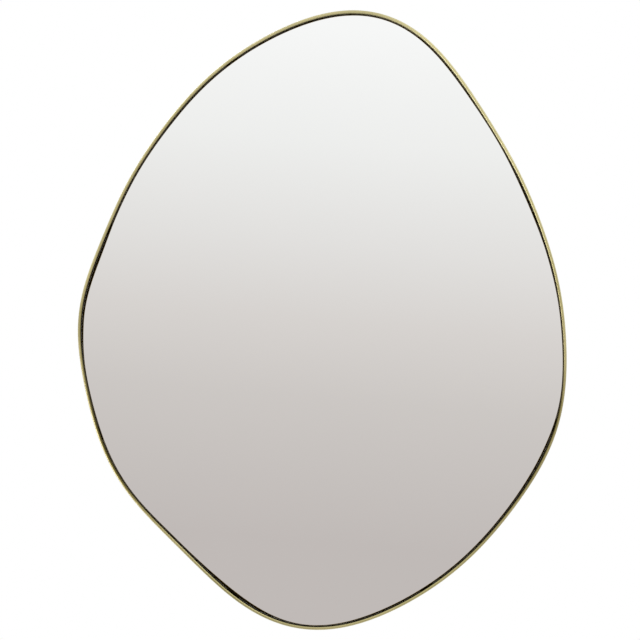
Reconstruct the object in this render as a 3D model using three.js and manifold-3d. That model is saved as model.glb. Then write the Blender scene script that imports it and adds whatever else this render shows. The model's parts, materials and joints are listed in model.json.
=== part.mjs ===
// Pebble-shaped wall mirror: a thin bent metal band round a silvered glass on a lacquered board.
// Units are millimetres. +X is right and +Z is up as the mirror hangs, and the glass faces -Y.
// The origin is on the wall plane, behind the middle of the outline's width and height.

import * as THREE from 'three';
import { mergeVertices } from 'three/addons/utils/BufferGeometryUtils.js';
import Module from 'manifold-3d';

// ---------------------------------------------------------------- driving sizes

// Outline of the frame, seen from the front.
const WIDTH = 710;
const HEIGHT = 900;
// The drawn shape: from the centre to the outer edge, every 15 degrees anticlockwise from +X.
// It is fitted to WIDTH and HEIGHT afterwards.
const OUTLINE_RADII = [
  373, 367, 371, 388, 424, 457, 439, 400, 364, 338, 324, 324,
  333, 337, 349, 363, 379, 418, 449, 441, 423, 407, 399, 387,
];
// Open joint between frame and glass in the same 24 directions. The band is bent by hand, so it is uneven.
const GLASS_JOINTS = [
  1.1, 1.9, 3.0, 1.4, 2.6, 2.1, 2.7, 2.3, 2.2, 1.7, 2.1, 4.1,
  3.2, 0.8, 1.5, 1.2, 1.9, 4.4, 1.5, 2.7, 2.5, 2.4, 3.3, 0.5,
];
const OUTLINE_STEPS = 144;

// Frame band: a flat bar bent on edge.
const BAND_FACE = 4;
const BAND_DEPTH = 25;
const BAND_EDGE_RADIUS = 1.6;
const BAND_EDGE_STEPS = 3;

// Board, tape and glass, from the wall forwards.
const BOARD_THICKNESS = 9;
const BOARD_JOINT = 0.5; // round the board, inside the band
const TAPE_THICKNESS = 1;
const TAPE_WIDTH = 25;
const TAPE_COUNT = 5;
const TAPE_SIDE_MARGIN = 95; // from the outline's sides to the outer strips' middles
const TAPE_END_MARGIN = 40; // from the outline to the strips' ends
const GLASS_THICKNESS = 4;
const GLASS_ARRIS = 0.6;
const GLASS_RECESS = 6; // glass front behind the band's front edge

// Lugs welded inside the band, flat on the back of the board.
const LUG_COUNT = 8;
const LUG_LENGTH = 24;
const LUG_WIDTH = 20;
const LUG_THICKNESS = 2;
const LUG_CORNER_RADIUS = 4;
const LUG_HOLE_INSET = 14; // from the band's inner side

// Wood screws, shared by lugs and hangers.
const SCREW_RADIUS = 1.75;
const SCREW_GRIP = 6; // length in the board
const SCREW_TIP_LENGTH = 2.5;
const SCREW_TIP_RADIUS = 0.3;
const SCREW_HEAD_RADIUS = 3.2;
const SCREW_HEAD_HEIGHT = 2.2;
const RECESS_SPAN = 3.6;
const RECESS_WIDTH = 0.9;
const RECESS_DEPTH = 1.1;

// Ring hangers: a strip folded round the straight side of a D-shaped wire ring.
const HANGER_SPACING = 320;
const HANGER_HEIGHT = 250; // ring pivot above the origin
const STRAP_WIDTH = 14;
const STRAP_SHEET = 1.2;
const STRAP_LENGTH = 32; // from the pivot down
const STRAP_HOLE_1 = 9.5; // below the pivot
const STRAP_HOLE_2 = 24;
const RING_WIRE_RADIUS = 1.5;
const RING_HALF_WIDTH = 10.5; // to the wire's middle
const RING_REACH = 17; // from the pivot to the middle of the bow's wire
const RING_CORNER_RADIUS = 3;

// Rubber bumpers.
const BUMPER_COUNT = 4;
const BUMPER_HEIGHT = 7;
const BUMPER_BASE_RADIUS = 8;
const BUMPER_TIP_RADIUS = 6.5;
const BUMPER_EDGE_RADIUS = 0.8;
const BUMPER_INSET = 45; // from the outline

const CLEARANCE = 0.3; // between pieces that nearly touch
const ROUND_STEPS = 16; // sides of the small turned pieces

// ---------------------------------------------------------------- depths, from the wall to the front

const BOARD_BACK = -BUMPER_HEIGHT;
const BOARD_FRONT = BOARD_BACK - BOARD_THICKNESS;
const GLASS_BACK = BOARD_FRONT - TAPE_THICKNESS;
const GLASS_FRONT = GLASS_BACK - GLASS_THICKNESS;
const BAND_FRONT = GLASS_FRONT - GLASS_RECESS;
const BAND_BACK = BAND_FRONT + BAND_DEPTH;

// ---------------------------------------------------------------- outline

// A closed curve without corners through evenly spaced values: trigonometric interpolation.
function smoothRound(values, angle) {
  const count = values.length;
  return values.reduce((sum, value, index) => {
    const half = angle / 2 - (index * Math.PI) / count;
    const atValue = Math.abs(Math.sin(half)) < 1e-9;
    const weight = atValue ? 1 : Math.sin(count * half) / (count * Math.tan(half));
    return sum + value * weight;
  }, 0);
}

// Eases from each of the evenly spaced values to the next and never passes them.
function easedRound(values, angle) {
  const turn = ((angle / (2 * Math.PI)) % 1 + 1) % 1;
  const place = turn * values.length;
  const index = Math.floor(place);
  const share = (1 - Math.cos(Math.PI * (place - index))) / 2;
  return THREE.MathUtils.lerp(values[index % values.length], values[(index + 1) % values.length], share);
}

function drawnPoint(angle) {
  const radius = smoothRound(OUTLINE_RADII, angle);
  return new THREE.Vector2(radius * Math.cos(angle), radius * Math.sin(angle));
}

function stepAngle(step) {
  return (step * 2 * Math.PI) / OUTLINE_STEPS;
}

// The outline's points, fitted to WIDTH and HEIGHT, each with its outward direction and glass joint.
function makeOutline() {
  const drawn = Array.from({ length: OUTLINE_STEPS }, (_, step) => drawnPoint(stepAngle(step)));
  const box = new THREE.Box2().setFromPoints(drawn);
  const middle = box.getCenter(new THREE.Vector2());
  const fit = new THREE.Vector2(WIDTH, HEIGHT).divide(box.getSize(new THREE.Vector2()));
  const points = drawn.map((point) => point.sub(middle).multiply(fit));
  return points.map((point, step) => {
    const before = points[(step + OUTLINE_STEPS - 1) % OUTLINE_STEPS];
    const after = points[(step + 1) % OUTLINE_STEPS];
    const along = after.clone().sub(before).normalize();
    return {
      point,
      outward: new THREE.Vector2(along.y, -along.x),
      glassJoint: easedRound(GLASS_JOINTS, stepAngle(step)),
    };
  });
}

const outline = makeOutline();

// The outline moved inwards by inset, which may differ from place to place.
function insetOutline(insetAt) {
  return outline.map((place) => place.point.clone().addScaledVector(place.outward, -insetAt(place)));
}

// The place a share of the way round the outline, by length, from +X.
function placeAlong(share) {
  const sides = outline.map(({ point }, step) => point.distanceTo(outline[(step + 1) % OUTLINE_STEPS].point));
  let left = share * sides.reduce((sum, side) => sum + side, 0);
  let step = 0;
  while (left > sides[step]) {
    left -= sides[step];
    step += 1;
  }
  const next = outline[(step + 1) % OUTLINE_STEPS];
  return {
    point: outline[step].point.clone().lerp(next.point, left / sides[step]),
    outward: outline[step].outward.clone().lerp(next.outward, left / sides[step]).normalize(),
  };
}

// Middle of the outline's area: the mirror hangs level when its hangers are even about it.
function balanceX() {
  let area = 0;
  let moment = 0;
  outline.forEach(({ point }, step) => {
    const next = outline[(step + 1) % OUTLINE_STEPS].point;
    const cross = point.cross(next);
    area += cross;
    moment += (cross * (point.x + next.x)) / 3;
  });
  return moment / area;
}

// Lowest and highest z inside the outline at x.
function heightsAt(x) {
  const crossings = [];
  outline.forEach(({ point }, step) => {
    const next = outline[(step + 1) % OUTLINE_STEPS].point;
    if (point.x < x !== next.x < x) {
      crossings.push(point.y + ((x - point.x) / (next.x - point.x)) * (next.y - point.y));
    }
  });
  return [Math.min(...crossings), Math.max(...crossings)];
}

// ---------------------------------------------------------------- solids

// Closed surface through rings of points. Each ring joins the next, and the last joins the first or, with flat
// ends, the first and last are closed by a fan of triangles.
function skin(rings, flatEnds) {
  const count = rings[0].length;
  const positions = rings.flat().flatMap((point) => point.toArray());
  const index = [];
  const joins = flatEnds ? rings.length - 1 : rings.length;
  for (let ring = 0; ring < joins; ring += 1) {
    const next = (ring + 1) % rings.length;
    for (let side = 0; side < count; side += 1) {
      const a = ring * count + side;
      const b = ring * count + ((side + 1) % count);
      const c = next * count + ((side + 1) % count);
      const d = next * count + side;
      index.push(a, b, c, a, c, d);
    }
  }
  if (flatEnds) {
    const last = (rings.length - 1) * count;
    for (let side = 1; side < count - 1; side += 1) {
      index.push(0, side + 1, side);
      index.push(last, last + side, last + side + 1);
    }
  }
  const geometry = new THREE.BufferGeometry();
  geometry.setAttribute('position', new THREE.Float32BufferAttribute(positions, 3));
  geometry.setIndex(index);
  return withNormals(geometry);
}

function withNormals(geometry) {
  geometry.computeVertexNormals();
  return geometry;
}

// A flat plate of the outline's shape. layers are [inset, y] from its back to its front.
function pebblePlate(layers) {
  const rings = layers.map(([insetAt, y]) => insetOutline(insetAt).map((point) => new THREE.Vector3(point.x, y, point.y)));
  return skin(rings, true);
}

// A shape drawn in x and z, given a thickness from y towards the front.
function cutSheet(shape, y, thickness, curveSegments = 6) {
  const geometry = new THREE.ExtrudeGeometry(shape, { depth: thickness, bevelEnabled: false, curveSegments });
  return geometry.rotateX(Math.PI / 2).translate(0, y, 0);
}

// A wire or bar with the given section, along a closed flat loop. Section points are [outwards, towards the back].
function closedBar(loop, section) {
  const rings = loop.map(({ point, outward }) => section.map(([out, back]) => {
    const place = point.clone().addScaledVector(outward, out);
    return new THREE.Vector3(place.x, back, place.y);
  }));
  return skin(rings, false);
}

function turned(profile) {
  const points = profile.map(([radius, y]) => new THREE.Vector2(radius, y));
  return new THREE.LatheGeometry(points, ROUND_STEPS);
}

const wasm = await Module();
wasm.setup();

function toSolid(geometry) {
  const bare = geometry.clone();
  bare.deleteAttribute('normal');
  bare.deleteAttribute('uv');
  const merged = mergeVertices(bare, 1e-4);
  return new wasm.Manifold(new wasm.Mesh({
    numProp: 3,
    vertProperties: merged.attributes.position.array,
    triVerts: Uint32Array.from(merged.index.array),
  }));
}

function toGeometry(solid) {
  const mesh = solid.getMesh();
  const geometry = new THREE.BufferGeometry();
  geometry.setAttribute('position', new THREE.Float32BufferAttribute(mesh.vertProperties, 3));
  geometry.setIndex(Array.from(mesh.triVerts));
  return withNormals(geometry);
}

// The first geometry with all the others cut out of it.
function cutFrom(geometry, cutters) {
  const solid = cutters.reduce((left, cutter) => left.subtract(toSolid(cutter)), toSolid(geometry));
  return toGeometry(solid);
}

// ---------------------------------------------------------------- finishes

const FINISHES = {
  brass: { color: 0xb9ac82, metalness: 1, roughness: 0.35 },
  mirror: { color: 0xeef0f0, metalness: 1, roughness: 0.02 },
  board: { color: 0x1d1916, metalness: 0, roughness: 0.6 },
  foam: { color: 0xe6e4dd, metalness: 0, roughness: 0.9 },
  steel: { color: 0xb4b6b8, metalness: 1, roughness: 0.35 },
  rubber: { color: 0x262626, metalness: 0, roughness: 0.8 },
};

function piece(name, geometry, finish) {
  const mesh = new THREE.Mesh(geometry, new THREE.MeshStandardMaterial(FINISHES[finish]));
  mesh.name = name;
  return mesh;
}

// ---------------------------------------------------------------- frame

// The bar's section: square at the back, both front edges rounded. Points are [outwards from the outline, y].
function bandSection() {
  const rounded = (middleOut, from) => Array.from({ length: BAND_EDGE_STEPS + 1 }, (_, step) => {
    const angle = from + (step * Math.PI) / (2 * BAND_EDGE_STEPS);
    return [
      middleOut + BAND_EDGE_RADIUS * Math.cos(angle),
      BAND_FRONT + BAND_EDGE_RADIUS + BAND_EDGE_RADIUS * Math.sin(angle),
    ];
  });
  return [
    [0, BAND_BACK],
    [-BAND_FACE, BAND_BACK],
    ...rounded(BAND_EDGE_RADIUS - BAND_FACE, Math.PI),
    ...rounded(-BAND_EDGE_RADIUS, 1.5 * Math.PI),
  ];
}

function frameBand() {
  return piece('frame_band', closedBar(outline, bandSection()), 'brass');
}

// ---------------------------------------------------------------- board, tape and glass

function backboard() {
  const inset = () => BAND_FACE + BOARD_JOINT;
  const board = pebblePlate([[inset, BOARD_BACK], [inset, BOARD_FRONT]]);
  return piece('backboard', cutFrom(board, screwPlaces().map(pilotHole)), 'board');
}

function mirrorGlass() {
  const edge = (place) => BAND_FACE + place.glassJoint;
  const flat = (place) => edge(place) + GLASS_ARRIS;
  const glass = pebblePlate([
    [flat, GLASS_BACK],
    [edge, GLASS_BACK - GLASS_ARRIS],
    [edge, GLASS_FRONT + GLASS_ARRIS],
    [flat, GLASS_FRONT],
  ]);
  return piece('mirror_glass', glass, 'mirror');
}

// Upright strips, evenly about the middle of the area, each as long as the outline leaves room for.
function mountingTapes() {
  const pitch = (WIDTH - 2 * TAPE_SIDE_MARGIN) / (TAPE_COUNT - 1);
  return Array.from({ length: TAPE_COUNT }, (_, index) => {
    const x = balanceX() + (index - (TAPE_COUNT - 1) / 2) * pitch;
    const sides = [heightsAt(x - TAPE_WIDTH / 2), heightsAt(x + TAPE_WIDTH / 2)];
    const low = Math.max(...sides.map((side) => side[0])) + TAPE_END_MARGIN;
    const high = Math.min(...sides.map((side) => side[1])) - TAPE_END_MARGIN;
    const strip = new THREE.BoxGeometry(TAPE_WIDTH, TAPE_THICKNESS, high - low);
    const mesh = piece(`mounting_tape_${index + 1}`, strip, 'foam');
    mesh.position.set(x, BOARD_FRONT - TAPE_THICKNESS / 2, (low + high) / 2);
    return mesh;
  });
}

// ---------------------------------------------------------------- lugs

// Even shares of the way round, starting half a step from +X.
function evenShares(count) {
  return Array.from({ length: count }, (_, index) => (index + 0.5) / count);
}

function lugPlaces() {
  return evenShares(LUG_COUNT).map(placeAlong);
}

function lugHole({ point, outward }) {
  return point.clone().addScaledVector(outward, -BAND_FACE - LUG_HOLE_INSET);
}

// Drawn with its outer end over the band, then trimmed along the band's inner side.
function lugBlank({ point, outward }) {
  const along = new THREE.Vector2(-outward.y, outward.x);
  const at = (inwards, sideways) => point.clone().addScaledVector(outward, -inwards).addScaledVector(along, sideways);
  const tip = BAND_FACE + LUG_LENGTH;
  const half = LUG_WIDTH / 2;
  const shape = new THREE.Shape();
  const corner = (inwards, sideways, afterInwards, afterSideways) => {
    const middle = at(inwards, sideways);
    const end = at(afterInwards, afterSideways);
    shape.quadraticCurveTo(middle.x, middle.y, end.x, end.y);
  };
  const move = (inwards, sideways) => shape.lineTo(at(inwards, sideways).x, at(inwards, sideways).y);
  shape.moveTo(at(0, half).x, at(0, half).y);
  move(tip - LUG_CORNER_RADIUS, half);
  corner(tip, half, tip, half - LUG_CORNER_RADIUS);
  move(tip, LUG_CORNER_RADIUS - half);
  corner(tip, -half, tip - LUG_CORNER_RADIUS, -half);
  move(0, -half);
  shape.closePath();
  return shape;
}

function frameLugs() {
  const inset = () => BAND_FACE + CLEARANCE;
  const inside = toSolid(pebblePlate([[inset, BOARD_BACK + 2 * LUG_THICKNESS], [inset, BOARD_FRONT]]));
  return lugPlaces().map((place, index) => {
    const shape = lugBlank(place);
    const hole = lugHole(place);
    shape.holes.push(new THREE.Path().absarc(hole.x, hole.y, SCREW_RADIUS + CLEARANCE, 0, 2 * Math.PI));
    const blank = cutSheet(shape, BOARD_BACK + LUG_THICKNESS, LUG_THICKNESS);
    return piece(`frame_lug_${index + 1}`, toGeometry(toSolid(blank).intersect(inside)), 'steel');
  });
}

// ---------------------------------------------------------------- screws

// Pan head screw along Y: the head's underside is at y = 0 and the tip is towards the front.
function screw(underHead) {
  const length = underHead + SCREW_GRIP;
  const body = turned([
    [0, -length],
    [SCREW_TIP_RADIUS, -length],
    [SCREW_RADIUS, SCREW_TIP_LENGTH - length],
    [SCREW_RADIUS, 0],
    [SCREW_HEAD_RADIUS, 0],
    [SCREW_HEAD_RADIUS, SCREW_HEAD_HEIGHT * 0.45],
    [SCREW_HEAD_RADIUS * 0.8, SCREW_HEAD_HEIGHT * 0.88],
    [SCREW_HEAD_RADIUS * 0.4, SCREW_HEAD_HEIGHT],
    [0, SCREW_HEAD_HEIGHT],
  ]);
  const slots = [[RECESS_SPAN, RECESS_WIDTH], [RECESS_WIDTH, RECESS_SPAN]].map(([x, z]) => (
    new THREE.BoxGeometry(x, 2 * RECESS_DEPTH, z).translate(0, SCREW_HEAD_HEIGHT, 0)
  ));
  return cutFrom(body, slots);
}

// Every screw's place on the back of the board, as a point in x and z.
function screwPlaces() {
  return [...lugPlaces().map(lugHole), ...hangerPlaces().flatMap(({ x }) => strapHoles().map((z) => new THREE.Vector2(x, z)))];
}

function pilotHole(place) {
  const radius = SCREW_RADIUS + CLEARANCE;
  const depth = SCREW_GRIP + CLEARANCE;
  const hole = new THREE.CylinderGeometry(radius, radius, 2 * depth, ROUND_STEPS);
  return hole.translate(place.x, BOARD_BACK, place.y);
}

function lugScrews() {
  const geometry = screw(LUG_THICKNESS);
  return lugPlaces().map((place, index) => {
    const mesh = piece(`lug_screw_${index + 1}`, geometry, 'steel');
    const hole = lugHole(place);
    mesh.position.set(hole.x, BOARD_BACK + LUG_THICKNESS, hole.y);
    return mesh;
  });
}

// ---------------------------------------------------------------- hangers

const STRAP_BORE = RING_WIRE_RADIUS + CLEARANCE;
const STRAP_LOOP_RADIUS = STRAP_BORE + STRAP_SHEET;
const STRAP_THICKNESS = 2 * STRAP_SHEET;
// The loop lies on the board, so the pivot is its radius above it. Up against the board and down on the strap, the
// bow's wire keeps the clearance.
const LEAN_TO_BOARD = Math.asin((STRAP_LOOP_RADIUS - RING_WIRE_RADIUS - CLEARANCE) / RING_REACH);

function hangerPlaces() {
  return [['left', -1], ['right', 1]].map(([side, sign]) => ({ side, x: balanceX() + (sign * HANGER_SPACING) / 2 }));
}

function strapHoles() {
  return [HANGER_HEIGHT - STRAP_HOLE_1, HANGER_HEIGHT - STRAP_HOLE_2];
}

// Side view of the folded strip: x is the height above the board, y is along the strap, the pivot is at y = 0.
function strapSideView() {
  const leave = -Math.PI / 3;
  const loop = (angle) => [
    STRAP_LOOP_RADIUS * (1 + Math.cos(angle)),
    STRAP_LOOP_RADIUS * Math.sin(angle),
  ];
  const [leaveX, leaveY] = loop(leave);
  const bendY = leaveY - (leaveX - STRAP_THICKNESS) / Math.tan(-leave);
  const shape = new THREE.Shape();
  shape.moveTo(0, -STRAP_LENGTH);
  shape.lineTo(STRAP_THICKNESS, -STRAP_LENGTH);
  shape.lineTo(STRAP_THICKNESS, 2 * bendY - leaveY);
  shape.quadraticCurveTo(STRAP_THICKNESS, bendY, leaveX, leaveY);
  shape.absarc(STRAP_LOOP_RADIUS, 0, STRAP_LOOP_RADIUS, leave, Math.PI);
  shape.closePath();
  shape.holes.push(new THREE.Path().absarc(STRAP_LOOP_RADIUS, 0, STRAP_BORE, 0, 2 * Math.PI));
  return shape;
}

// Front view of the strap, with a round lower end.
function strapOutline() {
  const half = STRAP_WIDTH / 2;
  const shape = new THREE.Shape();
  shape.moveTo(half, 2 * STRAP_LOOP_RADIUS);
  shape.lineTo(-half, 2 * STRAP_LOOP_RADIUS);
  shape.lineTo(-half, half - STRAP_LENGTH);
  shape.absarc(0, half - STRAP_LENGTH, half, Math.PI, 2 * Math.PI);
  shape.closePath();
  [STRAP_HOLE_1, STRAP_HOLE_2].forEach((below) => {
    shape.holes.push(new THREE.Path().absarc(0, -below, SCREW_RADIUS + CLEARANCE, 0, 2 * Math.PI));
  });
  return shape;
}

function hangerStrap() {
  const toWorld = new THREE.Matrix4().makeBasis(
    new THREE.Vector3(0, 1, 0),
    new THREE.Vector3(0, 0, 1),
    new THREE.Vector3(1, 0, 0),
  );
  const folded = new THREE.ExtrudeGeometry(strapSideView(), {
    depth: STRAP_WIDTH, bevelEnabled: false, curveSegments: 8,
  });
  folded.translate(0, 0, -STRAP_WIDTH / 2).applyMatrix4(toWorld);
  const thick = 3 * STRAP_LOOP_RADIUS;
  const cutter = cutSheet(strapOutline(), thick, 2 * thick, 8);
  return toGeometry(toSolid(folded).intersect(toSolid(cutter)));
}

// Middle line of the D: a straight side along x through the pivot, round corners and a half-circle bow.
function ringLoop() {
  const path = new THREE.Path();
  const half = RING_HALF_WIDTH;
  const corner = RING_CORNER_RADIUS;
  path.moveTo(0, 0);
  path.lineTo(half - corner, 0);
  path.absarc(half - corner, corner, corner, -Math.PI / 2, 0);
  path.lineTo(half, RING_REACH - half);
  path.absarc(0, RING_REACH - half, half, 0, Math.PI);
  path.lineTo(-half, corner);
  path.absarc(corner - half, corner, corner, Math.PI, 1.5 * Math.PI);
  path.lineTo(0, 0);
  const points = path.getPoints(5).slice(0, -1);
  const distinct = points.filter((point, i) => point.distanceTo(points[(i + 1) % points.length]) > 1e-3);
  return distinct.map((point, i) => {
    const before = distinct[(i + distinct.length - 1) % distinct.length];
    const after = distinct[(i + 1) % distinct.length];
    const along = after.clone().sub(before).normalize();
    return { point, outward: new THREE.Vector2(along.y, -along.x) };
  });
}

function hangerRing() {
  const wire = Array.from({ length: 10 }, (_, side) => {
    const angle = (side * 2 * Math.PI) / 10;
    return [RING_WIRE_RADIUS * Math.cos(angle), RING_WIRE_RADIUS * Math.sin(angle)];
  });
  return closedBar(ringLoop(), wire);
}

function hangers() {
  return hangerPlaces().map(({ side, x }) => {
    const hanger = new THREE.Group();
    hanger.position.set(x, BOARD_BACK, HANGER_HEIGHT);
    hanger.add(piece(`hanger_strap_${side}`, hangerStrap(), 'steel'));

    const ring = piece(`hanger_ring_${side}`, hangerRing(), 'steel');
    ring.position.y = STRAP_LOOP_RADIUS;
    ring.rotation.x = LEAN_TO_BOARD;
    hanger.add(ring);

    [STRAP_HOLE_1, STRAP_HOLE_2].forEach((below, index) => {
      const mesh = piece(`hanger_screw_${side}_${index + 1}`, screw(STRAP_THICKNESS), 'steel');
      mesh.position.set(0, STRAP_THICKNESS, -below);
      hanger.add(mesh);
    });
    return hanger;
  });
}

// ---------------------------------------------------------------- bumpers

function bumperGeometry() {
  const edge = Array.from({ length: 4 }, (_, step) => {
    const angle = (step * Math.PI) / 6;
    return [
      BUMPER_TIP_RADIUS - BUMPER_EDGE_RADIUS * (1 - Math.cos(angle)),
      BUMPER_HEIGHT - BUMPER_EDGE_RADIUS * (1 - Math.sin(angle)),
    ];
  });
  return turned([[0, 0], [BUMPER_BASE_RADIUS, 0], ...edge, [0, BUMPER_HEIGHT]]);
}

function bumpers() {
  return evenShares(BUMPER_COUNT).map((share, index) => {
    const { point, outward } = placeAlong(share);
    const middle = point.addScaledVector(outward, -BUMPER_INSET);
    const mesh = piece(`bumper_${index + 1}`, bumperGeometry(), 'rubber');
    mesh.position.set(middle.x, BOARD_BACK, middle.y);
    return mesh;
  });
}

// ---------------------------------------------------------------- the whole mirror

const mirror = new THREE.Group();
mirror.name = 'pebble_wall_mirror';
mirror.add(frameBand(), backboard(), mirrorGlass());
mirror.add(...mountingTapes(), ...frameLugs(), ...lugScrews(), ...hangers(), ...bumpers());

export default mirror;
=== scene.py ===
"""Pebble-shaped wall mirror: a brushed brass band round a recessed glass, with its hangers behind.

Metres, +X right and +Z up as the mirror hangs. The glass faces -Y and the wall plane is y = 0.
"""

import json
import math
import random
from contextlib import contextmanager

import bmesh
import bpy
import numpy as np
from mathutils import Matrix, Vector


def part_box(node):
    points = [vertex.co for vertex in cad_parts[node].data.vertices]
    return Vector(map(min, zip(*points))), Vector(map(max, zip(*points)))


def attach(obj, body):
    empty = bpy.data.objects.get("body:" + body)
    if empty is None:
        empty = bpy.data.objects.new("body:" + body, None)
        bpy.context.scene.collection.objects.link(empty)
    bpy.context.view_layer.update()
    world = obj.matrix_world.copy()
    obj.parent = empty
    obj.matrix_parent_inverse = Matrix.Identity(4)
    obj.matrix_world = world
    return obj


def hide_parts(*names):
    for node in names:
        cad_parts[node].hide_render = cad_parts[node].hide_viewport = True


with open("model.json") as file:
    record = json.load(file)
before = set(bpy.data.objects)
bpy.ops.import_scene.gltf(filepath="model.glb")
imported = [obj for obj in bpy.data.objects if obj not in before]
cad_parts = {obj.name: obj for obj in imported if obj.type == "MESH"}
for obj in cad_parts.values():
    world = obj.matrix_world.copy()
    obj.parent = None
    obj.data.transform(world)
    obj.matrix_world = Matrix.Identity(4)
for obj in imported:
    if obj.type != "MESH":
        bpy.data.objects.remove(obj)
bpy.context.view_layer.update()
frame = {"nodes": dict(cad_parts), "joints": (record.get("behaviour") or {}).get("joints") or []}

MM = 0.001
ROOT = "mirror_body"

LUG_NODES = [f"frame_lug_{i}" for i in range(1, 9)]
LUG_SCREW_NODES = [f"lug_screw_{i}" for i in range(1, 9)]
TAPE_NODES = [f"mounting_tape_{i}" for i in range(1, 6)]
BUMPER_NODES = [f"bumper_{i}" for i in range(1, 5)]


# ---------------------------------------------------------------- sizes

OUTLINE_POINTS = 864
BAND_FACE = 4.0 * MM
BAND_EDGE_RADIUS = 1.6 * MM
BAND_EDGE_STEPS = 7
BAND_BACK_RADIUS = 0.35 * MM
BAND_BACK_STEPS = 3
GLASS_ARRIS = 0.6 * MM
GLASS_ARRIS_STEPS = 5

LUG_THICKNESS = 2.0 * MM
LUG_BEVEL = 0.3 * MM

SCREW_SIDES = 48
SCREW_GRIP = 6.0 * MM
LUG_SCREW_SEED = 3
HANGER_SCREW_SEEDS = {"left": 11, "right": 12}
SCREW_SHANK_RADIUS = 1.75 * MM
SCREW_POINT_RADIUS = 0.3 * MM
SCREW_POINT_LENGTH = 2.5 * MM
SCREW_HEAD_RADIUS = 3.2 * MM
SCREW_HEAD_HEIGHT = 2.2 * MM
HEAD_UNDERSIDE = 0.97  # share of the head's radius
HEAD_EDGE = (0.06, 0.38)  # foot and top of the straight edge, as shares of the head's height
HEAD_DOME_FOOT = 0.35  # share of the head's height
HEAD_DOME_ANGLES = np.radians(np.linspace(84, 8, 9))
RECESS_DEPTH = 1.1 * MM
RECESS_CLEAR = 0.4 * MM  # how far the cutter stands out of the head
RECESS_MOUTH = (4.14 * MM, 0.945 * MM)  # the cross's span and width at the cutter's top
RECESS_FOOT = (1.98 * MM, 0.72 * MM)

STRAP_SHEET = 1.2 * MM
STRAP_LENGTH = 32.0 * MM
STRAP_WIDTH = 14.0 * MM
STRAP_SEAM = 0.08 * MM
STRAP_BEVEL = 0.22 * MM  # the most; the narrow last edge of the round end holds it to 0.02 mm
STRAP_LOOP_END = -60  # degrees round the loop, where the upper leaf leaves it
STRAP_LOOP_STEPS = 28
STRAP_BEND_STEPS = 8
STRAP_LOWER_SHARES = (1, 0.75, 0.5, 0.25)  # of the strap's length, down from the pivot
STRAP_UPPER_SHARES = (0.375, 0.5, 0.75, 1)
STRAP_END_ANGLES = (0, 12, 25, 38, 52, 66, 80, 90)  # degrees round the strap's round end
STRAP_END_HALF = 0.001 * MM  # half the width that is left at its tip

RING_WIRE_RADIUS = 1.5 * MM
RING_WIRE_SIDES = 20
RING_HALF_WIDTH = 10.5 * MM
RING_REACH = 17.0 * MM
RING_CORNER_RADIUS = 3.0 * MM
RING_CORNER_STEPS = 8
RING_BOW_STEPS = 32
RING_STRAIGHT_POINTS = 7
BORE_CLEARANCE = 0.3 * MM

WELD_LENGTH = 17.0 * MM
WELD_PITCH = 1.1 * MM
WELD_HEIGHT = 1.5 * MM
WELD_OVERLAP = 1.3  # half the length of a drop, in pitches
WELD_UNEVEN = (0.85, 1.15)
WELD_SEED = 7
WELD_DROP_SEGMENTS = 14
WELD_DROP_RINGS = 8
SEAM_POINTS = 13
SEAM_SEARCH_STEPS = 3600

BUMPER_SIDES = 56
BUMPER_EDGE_START = 10  # degrees
BUMPER_BASE_RADIUS = 8.0 * MM
BUMPER_BASE_CHAMFER = (0.2 * MM, 0.3 * MM)  # inwards and up
BUMPER_TIP_RADIUS = 6.5 * MM
BUMPER_EDGE_RADIUS = 0.8 * MM
BUMPER_EDGE_STEPS = 6

DOUBLES = 0.0001 * MM
SLIVER = 0.001 * MM
PLACE_DIGITS = 6  # of a CAD point's place in metres
CRISP_ANGLE = math.radians(40)
SCREW_CRISP_ANGLE = math.radians(35)
BUMPER_CRISP_ANGLE = math.radians(50)
EASED_ANGLE = math.radians(50)
EASED_STEPS = 2
FLAT_ANGLE = math.radians(0.5)
FLAT_NORMAL = 0.99  # least y of the normal of a lug's flat face


# ---------------------------------------------------------------- places, read from the frame

def middle(node):
    """Middle of the node's box."""
    low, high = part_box(node)
    return (low + high) / 2


BAND_LOW, BAND_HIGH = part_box("frame_band")
BOARD_LOW, BOARD_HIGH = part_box("backboard")
GLASS_LOW, GLASS_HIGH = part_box("mirror_glass")
BAND_FRONT, BAND_BACK = BAND_LOW.y, BAND_HIGH.y
BOARD_BACK = BOARD_HIGH.y
GLASS_FRONT, GLASS_BACK = GLASS_LOW.y, GLASS_HIGH.y
BAND_TO_BOARD = BOARD_LOW.x - BAND_LOW.x


# ---------------------------------------------------------------- section of the band

def arc(middle_x, middle_y, radius, start, end, steps):
    """Points from start to end degrees, both included."""
    angles = [math.radians(start + (end - start) * step / steps) for step in range(steps + 1)]
    return [(middle_x + radius * math.cos(a), middle_y + radius * math.sin(a)) for a in angles]


def band_section():
    """The bar as [outwards from the outline, y], from its outer back corner round by the inside."""
    back, front = BAND_BACK, BAND_FRONT
    small, large = BAND_BACK_RADIUS, BAND_EDGE_RADIUS
    inner = -BAND_FACE
    return [
        *arc(-small, back - small, small, 0, 90, BAND_BACK_STEPS),
        *arc(inner + small, back - small, small, 90, 180, BAND_BACK_STEPS),
        *arc(inner + large, front + large, large, 180, 270, BAND_EDGE_STEPS),
        *arc(-large, front + large, large, 270, 360, BAND_EDGE_STEPS),
    ]


def girth(section):
    """How far round the section each point is, from the first, in metres."""
    steps = [math.dist(a, b) for a, b in zip(section, section[1:] + section[:1])]
    return np.concatenate([[0], np.cumsum(steps)])


SECTION = band_section()
GIRTH = girth(SECTION)
INNER_SIDE_END = GIRTH[2 * (BAND_BACK_STEPS + 1)]
FACE_START = INNER_SIDE_END + BAND_EDGE_RADIUS / 2
FACE_END = GIRTH[len(SECTION) - 1]
BOARD_LINE = INNER_SIDE_END - (BOARD_LOW.y - BAND_FRONT - BAND_EDGE_RADIUS)


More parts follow.
